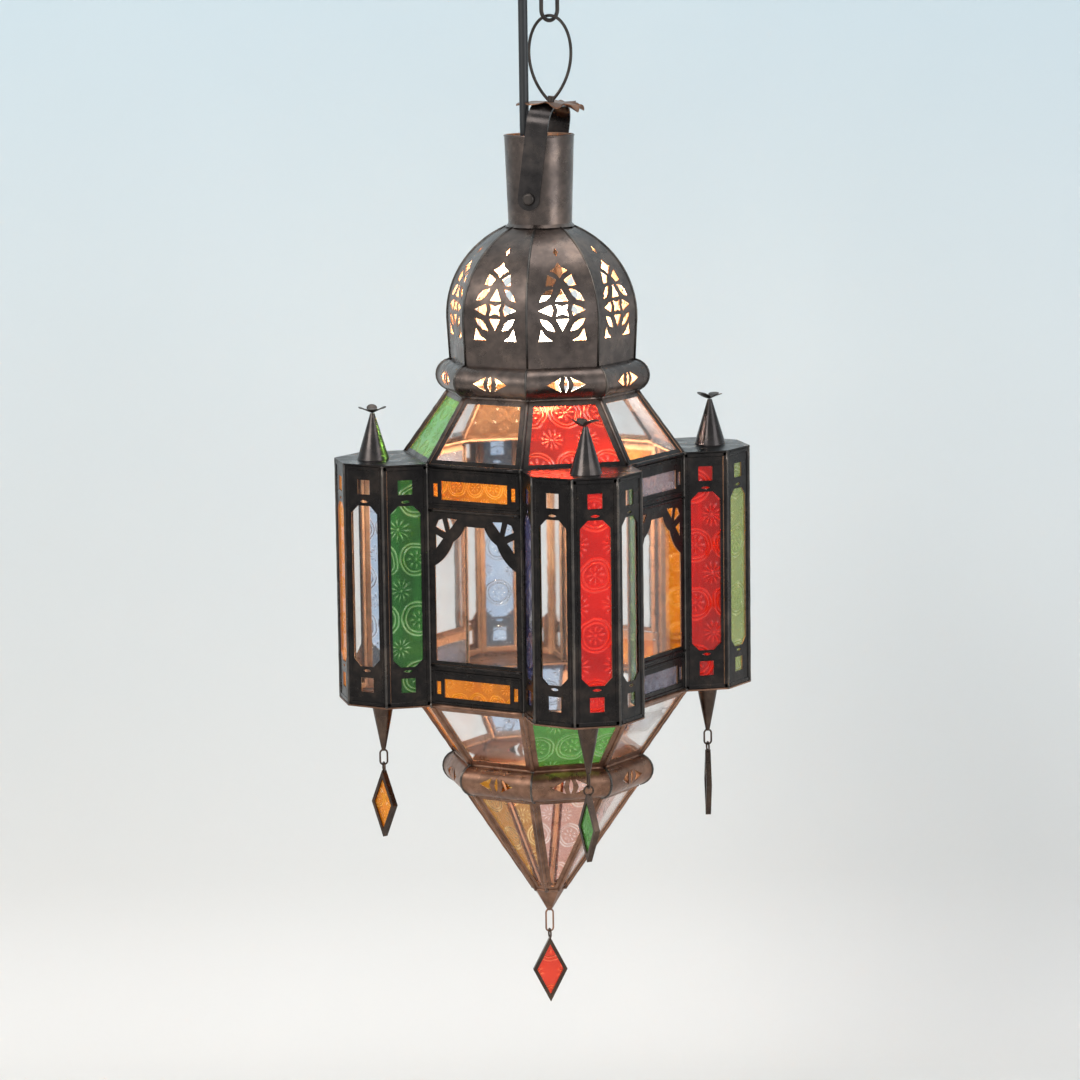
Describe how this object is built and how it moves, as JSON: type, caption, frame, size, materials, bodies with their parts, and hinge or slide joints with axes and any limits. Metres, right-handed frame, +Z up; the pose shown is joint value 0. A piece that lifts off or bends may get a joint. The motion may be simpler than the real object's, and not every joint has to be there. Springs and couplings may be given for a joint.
{
  "type": "hanging fanous lantern",
  "caption": "Hanging octagonal lantern of pierced dark sheet metal and coloured glass, with projecting bays, dome, glass cone and pendants, on a ring and cable",
  "frame": {"origin": "On the ceiling plane, straight above the lantern's axis, on the top face of the ceiling bar", "axes": "+Z up, -Y the front bay, +X the right bay as seen from the front"},
  "size_m": [0.2696, 0.2696, 0.7259],
  "materials": {
    "blackened_sheet": "blackened sheet iron with a satin bluish and bronze sheen",
    "bronzed_sheet": "sheet iron with a brown bronze patina",
    "dark_wire": "dark annealed wire",
    "copper_sheet": "tarnished copper-brown sheet",
    "zinc_steel": "zinc plated",
    "black_plastic": "moulded black plastic",
    "cable_sheath": "smooth flexible cable sheath",
    "bulb_glass": "opal lamp glass, lit",
    "clear_glass": "clear hand-pressed glass",
    "red_glass": "pressed red glass with a raised flower pattern",
    "green_glass": "pressed green glass with a raised flower pattern",
    "amber_glass": "pressed amber glass with a raised flower pattern",
    "blue_glass": "pressed blue glass with a raised flower pattern",
    "grey_glass": "pressed grey-lavender glass"
  },
  "bodies": {
    "ceiling_mount": {"ceiling_bar": "zinc_steel", "ceiling_canopy": "blackened_sheet", "canopy_hook": "dark_wire", "canopy_nut": "zinc_steel", "cord_bush": "black_plastic", "supply_cable": "cable_sheath"},
    "chain_link": {"chain_link": "dark_wire"},
    "hanger": {"hanging_ring": "dark_wire", "rosette": "copper_sheet", "bail_strap": "blackened_sheet"},
    "door": {"door_panel": "blackened_sheet", "door_pane": "clear_glass", "door_knob": "copper_sheet"},
    "pendant_right": {"pendant_frame_right": "bronzed_sheet", "pendant_pane_right": "blue_glass"},
    "pendant_back": {"pendant_frame_back": "bronzed_sheet", "pendant_pane_back": "red_glass"},
    "pendant_left": {"pendant_frame_left": "bronzed_sheet", "pendant_pane_left": "amber_glass"},
    "pendant_front": {"pendant_frame_front": "bronzed_sheet", "pendant_pane_front": "green_glass"},
    "pendant_tip": {"pendant_frame_tip": "bronzed_sheet", "pendant_pane_tip": "red_glass"},
    "lantern": {"bail_rivets": "dark_wire", "neck_tube": "blackened_sheet", "lampholder": "black_plastic", "lampholder_bracket": "zinc_steel", "bulb": "bulb_glass", "dome_gores": "blackened_sheet", "upper_collar": "blackened_sheet", "lower_collar": "bronzed_sheet", "roof_frames": "blackened_sheet", "funnel_frames": "bronzed_sheet", "cone_frames": "bronzed_sheet", "roof_panes_clear": "clear_glass", "funnel_panes_clear": "clear_glass", "cone_panes": "clear_glass", "bay_panes_clear": "clear_glass", "window_panes": "clear_glass", "red_panes": "red_glass", "green_panes": "green_glass", "amber_panes": "amber_glass", "blue_panes": "blue_glass", "grey_panes": "grey_glass", "body_rims": "blackened_sheet", "bay_top_plates": "blackened_sheet", "bay_bottom_plates": "bronzed_sheet", "finial_cones": "blackened_sheet", "finial_flowers": "copper_sheet", "drop_cones": "bronzed_sheet", "tip_cap": "bronzed_sheet", "window_strips": "blackened_sheet", "window_panels": "blackened_sheet", "door_strips": "blackened_sheet", "door_pins": "dark_wire", "bay_shell_right": "blackened_sheet", "bay_shell_back": "blackened_sheet", "bay_shell_left": "blackened_sheet", "bay_shell_front": "blackened_sheet"}
  },
  "joints": [
    {"name": "link_rock", "type": "hinge", "parent": "ceiling_mount", "child": "chain_link", "pos_m": [0.00686, -0.00412, -0.0501], "axis": [-0.515, -0.8572, 0], "range_deg": [-4, 4]},
    {"name": "lantern_swing", "type": "hinge", "parent": "ceiling_mount", "child": "hanger", "pos_m": [0.00686, -0.00412, -0.0791], "axis": [0.8572, -0.515, 0], "range_deg": [-12, 12], "deforming": ["supply_cable"]},
    {"name": "bail_tilt", "type": "hinge", "parent": "hanger", "child": "lantern", "pos_m": [0, 0, -0.1945], "axis": [0.515, 0.8572, 0], "range_deg": [-15, 6], "deforming": ["supply_cable"]},
    {"name": "door_open", "type": "hinge", "parent": "lantern", "child": "door", "pos_m": [0.08238, 0.03656, -0.4375], "axis": [0, 0, -1], "range_deg": [0, 110]},
    {"name": "pendant_right_swing", "type": "hinge", "parent": "lantern", "child": "pendant_right", "pos_m": [0.10925, 0, -0.5592], "axis": [1, 0, 0], "range_deg": [-60, 60]},
    {"name": "pendant_back_swing", "type": "hinge", "parent": "lantern", "child": "pendant_back", "pos_m": [0, 0.10925, -0.5592], "axis": [0, 1, 0], "range_deg": [-60, 60]},
    {"name": "pendant_left_swing", "type": "hinge", "parent": "lantern", "child": "pendant_left", "pos_m": [-0.10925, 0, -0.5592], "axis": [-1, 0, 0], "range_deg": [-60, 60]},
    {"name": "pendant_front_swing", "type": "hinge", "parent": "lantern", "child": "pendant_front", "pos_m": [0, -0.10925, -0.5592], "axis": [0, -1, 0], "range_deg": [-60, 60]},
    {"name": "pendant_tip_swing", "type": "hinge", "parent": "lantern", "child": "pendant_tip", "pos_m": [0, 0, -0.6782], "axis": [1, 0, 0], "range_deg": [-60, 60]}
  ]
}
